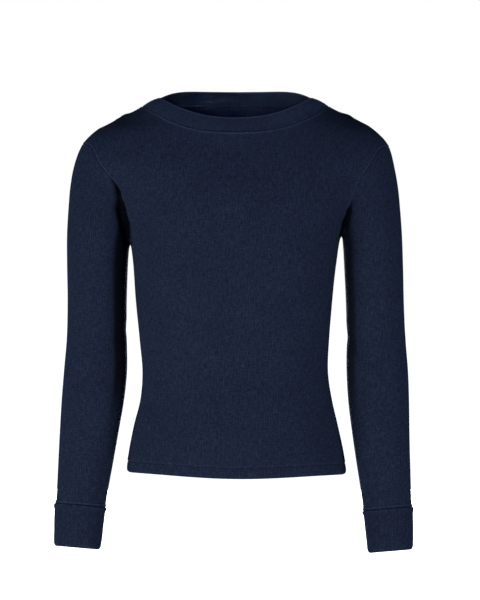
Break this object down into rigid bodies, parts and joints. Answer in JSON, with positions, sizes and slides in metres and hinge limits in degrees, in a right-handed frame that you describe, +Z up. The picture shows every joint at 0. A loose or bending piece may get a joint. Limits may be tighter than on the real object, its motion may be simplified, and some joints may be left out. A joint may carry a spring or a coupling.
{
  "type": "thermal top",
  "caption": "Child's long-sleeved thermal top in fine rib knit, filled out as when worn, with a crew collar, rib cuffs and a turned hem.",
  "frame": {"origin": "middle of the neck, level with the collar seam's high points on the shoulders, where the wearer's shoulders hold the top up", "axes": "+X the viewer's right, -Y the front, +Z up"},
  "size_m": [0.4605, 0.18, 0.6011],
  "materials": {
    "thermal_knit": "fine matt navy knit",
    "rib_knit": "matt navy rib, folded double"
  },
  "bodies": {
    "root": {"front_panel": "thermal_knit", "back_panel": "thermal_knit", "sleeve_left": "thermal_knit", "sleeve_right": "thermal_knit", "collar": "rib_knit", "cuff_left": "rib_knit", "cuff_right": "rib_knit"}
  },
  "joints": []
}
